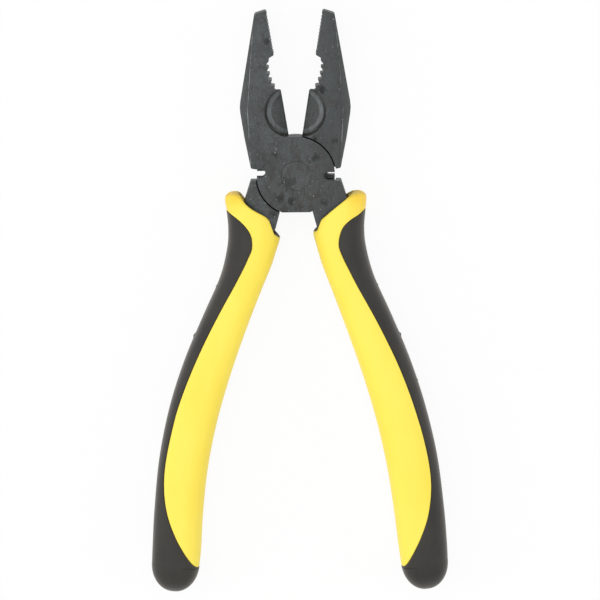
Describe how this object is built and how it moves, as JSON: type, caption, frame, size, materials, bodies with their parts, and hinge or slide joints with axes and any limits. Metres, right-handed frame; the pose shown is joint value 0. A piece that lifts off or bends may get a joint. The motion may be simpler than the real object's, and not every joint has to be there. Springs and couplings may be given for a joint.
{
  "type": "combination pliers",
  "caption": "Lineman's combination pliers: forged black levers lapped on a peened rivet, with a side cutter, a pipe grip, wire-shear slots and yellow and black moulded grips.",
  "frame": {"origin": "on the pivot axis, at the back face of the joint", "axes": "+Y from the pivot towards the jaw tips, along the centre line between the jaws; +X towards the handle of the front lever; +Z out of the front face of the joint, along the pivot axis. The rest pose is the open pose."},
  "size_m": [0.102, 0.1999, 0.0185],
  "materials": {
    "black_steel": "blackened and oiled forged steel, ground flat on the faces, with lighter worn edges",
    "rivet_steel": "blackened steel, peened over and ground flush with the joint",
    "yellow_plastic": "satin moulded plastic, warm yellow",
    "black_rubber": "matt soft-touch thermoplastic rubber"
  },
  "bodies": {
    "front_half": {"front_lever": "black_steel", "pivot_rivet": "rivet_steel", "right_grip_core": "yellow_plastic", "right_grip_overmould": "black_rubber"},
    "back_half": {"back_lever": "black_steel", "left_grip_core": "yellow_plastic", "left_grip_overmould": "black_rubber"}
  },
  "joints": [
    {"name": "pivot", "type": "hinge", "parent": "front_half", "child": "back_half", "pos_m": [0, 0, 0.00575], "axis": [0, 0, 1], "range_deg": [-14, 18.5]}
  ]
}
